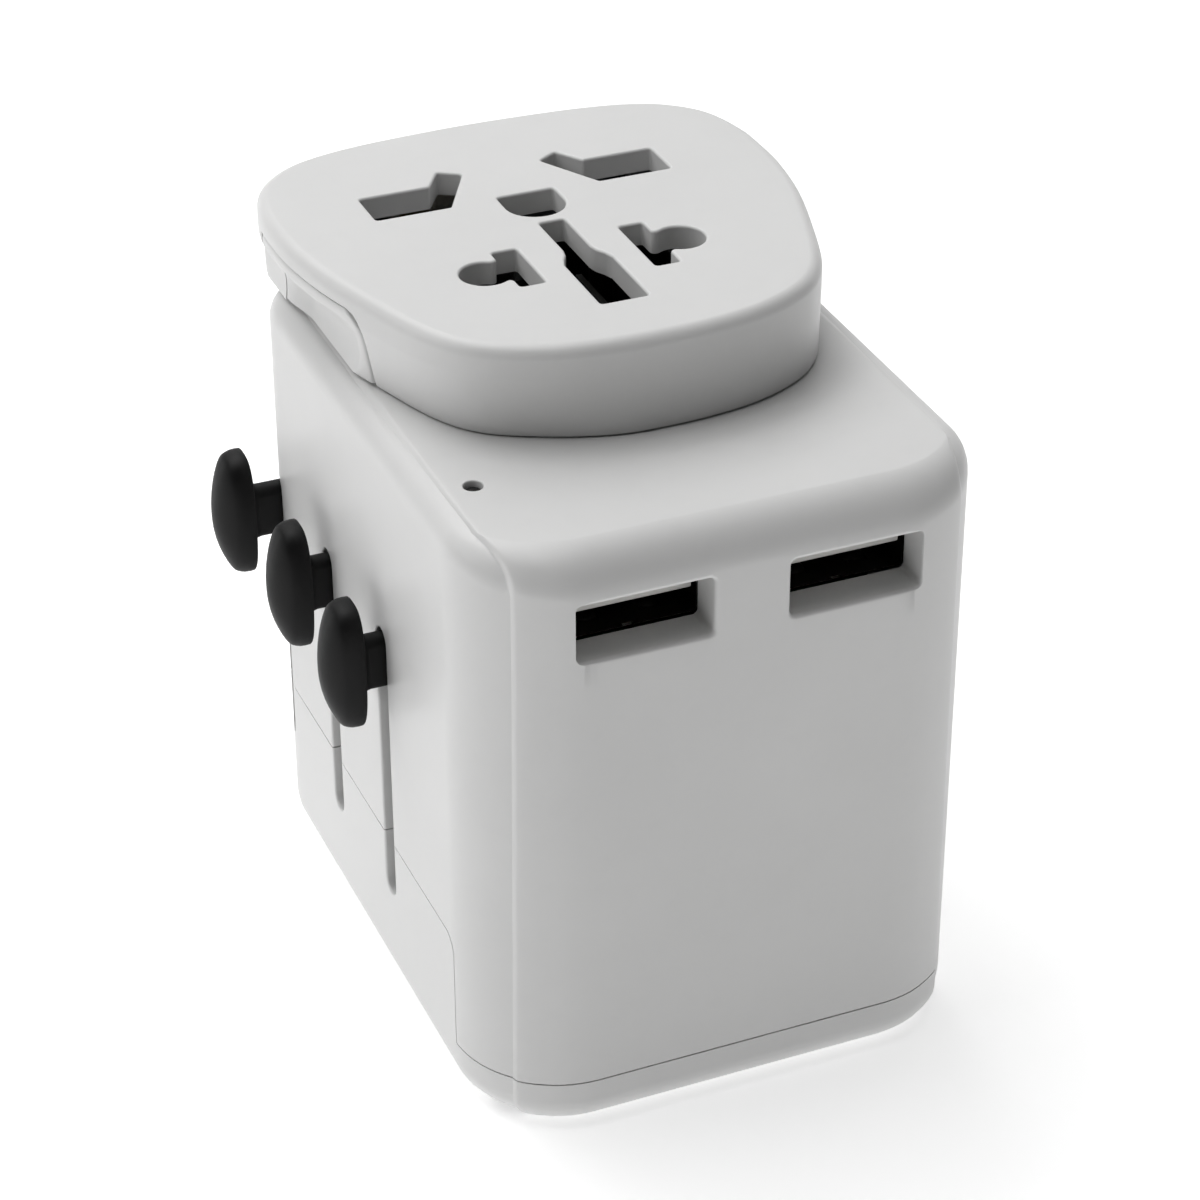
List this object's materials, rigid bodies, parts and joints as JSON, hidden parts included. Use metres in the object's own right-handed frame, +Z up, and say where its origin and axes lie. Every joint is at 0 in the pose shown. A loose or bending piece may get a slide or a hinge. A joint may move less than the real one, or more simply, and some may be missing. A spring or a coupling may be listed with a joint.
{
  "type": "travel adapter",
  "caption": "Universal travel adapter: rounded white housing with side sliders that push out UK, European and US/AU pins, a multi-standard socket head and USB-A ports.",
  "frame": {"origin": "middle of the overall footprint, knobs and overhanging head included, on the plane of the base; the housing's own middle lies 3.475 mm towards +X and 1.0 mm towards -Y of it", "axes": "+Z up, out of the socket face; -Y is the face with the USB ports; -X is the face with the sliders"},
  "size_m": [0.0558, 0.0672, 0.07],
  "materials": {
    "white_shell": "fine satin moulding",
    "grey_plastic": "matt moulding",
    "black_plastic": "semi-gloss moulding",
    "brass": "stamped and plated",
    "nickel": "bright nickel plate",
    "steel": "zinc plated",
    "circuit_board": "solder mask on glass-fibre board",
    "fuse_body": "glazed ceramic tube",
    "winding_tape": "polyester tape",
    "ferrite": "sintered ferrite",
    "pin_sleeve": "dark sleeve",
    "usb_insert": "moulded insert",
    "clear_plastic": "clear acrylic"
  },
  "bodies": {
    "adapter": {"upper_housing": "white_shell", "bottom_cap": "white_shell", "head_cover": "white_shell", "head_base": "grey_plastic", "contact_carrier": "black_plastic", "line_contact": "brass", "neutral_contact": "brass", "earth_contact": "brass", "line_busbar": "brass", "neutral_busbar": "brass", "fuse": "fuse_body", "fuse_clip_left": "brass", "fuse_clip_right": "brass", "usb_shell_left": "nickel", "usb_shell_right": "nickel", "usb_tongue_left": "usb_insert", "usb_tongue_right": "usb_insert", "usb_board": "circuit_board", "transformer_coil": "winding_tape", "transformer_core": "ferrite", "capacitor_1": "pin_sleeve", "capacitor_2": "pin_sleeve", "charger_chip": "black_plastic", "light_pipe": "clear_plastic", "indicator_led": "clear_plastic", "release_spring_left": "steel", "release_spring_right": "steel", "cap_screw_1": "steel", "cap_screw_2": "steel", "cap_screw_3": "steel", "cap_screw_4": "steel", "head_screw_1": "steel", "head_screw_2": "steel"},
    "us_slider": {"carriage_us": "black_plastic", "knob_spring_us": "steel"},
    "us_knob": {"knob_us": "black_plastic"},
    "us_blade_swivel_left": {"blade_rotor_left": "white_shell", "us_blade_left": "nickel"},
    "us_blade_swivel_right": {"blade_rotor_right": "white_shell", "us_blade_right": "nickel"},
    "eu_slider": {"carriage_eu": "black_plastic", "knob_spring_eu": "steel", "eu_pin_left": "nickel", "eu_pin_right": "nickel", "eu_sleeve_left": "pin_sleeve", "eu_sleeve_right": "pin_sleeve"},
    "eu_knob": {"knob_eu": "black_plastic"},
    "uk_slider": {"carriage_uk": "black_plastic", "knob_spring_uk": "steel", "uk_pin_left": "brass", "uk_pin_right": "brass", "uk_pin_earth": "brass"},
    "uk_knob": {"knob_uk": "black_plastic"},
    "release_left": {"release_button_left": "white_shell"},
    "release_right": {"release_button_right": "white_shell"},
    "socket_shutter": {"shutter": "grey_plastic"}
  },
  "joints": [
    {"name": "us_pins_slide", "type": "slide", "parent": "adapter", "child": "us_slider", "axis": [0, 0, -1], "range_m": [0, 0.0235]},
    {"name": "eu_pins_slide", "type": "slide", "parent": "adapter", "child": "eu_slider", "axis": [0, 0, -1], "range_m": [0, 0.0235]},
    {"name": "uk_pins_slide", "type": "slide", "parent": "adapter", "child": "uk_slider", "axis": [0, 0, -1], "range_m": [0, 0.0235]},
    {"name": "us_knob_press", "type": "slide", "parent": "us_slider", "child": "us_knob", "axis": [1, 0, 0], "range_m": [0, 0.0018], "stiffness_N_per_m": 400},
    {"name": "eu_knob_press", "type": "slide", "parent": "eu_slider", "child": "eu_knob", "axis": [1, 0, 0], "range_m": [0, 0.0018], "stiffness_N_per_m": 400},
    {"name": "uk_knob_press", "type": "slide", "parent": "uk_slider", "child": "uk_knob", "axis": [1, 0, 0], "range_m": [0, 0.0018], "stiffness_N_per_m": 400},
    {"name": "us_blade_swivel_left", "type": "hinge", "parent": "us_slider", "child": "us_blade_swivel_left", "pos_m": [-0.00287, -0.0065, 0.027], "axis": [0, 0, 1], "range_deg": [-30, 30]},
    {"name": "us_blade_swivel_right", "type": "hinge", "parent": "us_slider", "child": "us_blade_swivel_right", "pos_m": [0.00983, -0.0065, 0.027], "axis": [0, 0, 1], "range_deg": [-30, 30]},
    {"name": "release_press_left", "type": "slide", "parent": "adapter", "child": "release_left", "axis": [1, 0, 0], "range_m": [0, 0.0012], "stiffness_N_per_m": 600},
    {"name": "release_press_right", "type": "slide", "parent": "adapter", "child": "release_right", "axis": [-1, 0, 0], "range_m": [0, 0.0012], "stiffness_N_per_m": 600},
    {"name": "shutter_slide", "type": "slide", "parent": "adapter", "child": "socket_shutter", "axis": [0, 1, 0], "range_m": [0, 0.0048], "stiffness_N_per_m": 60}
  ]
}
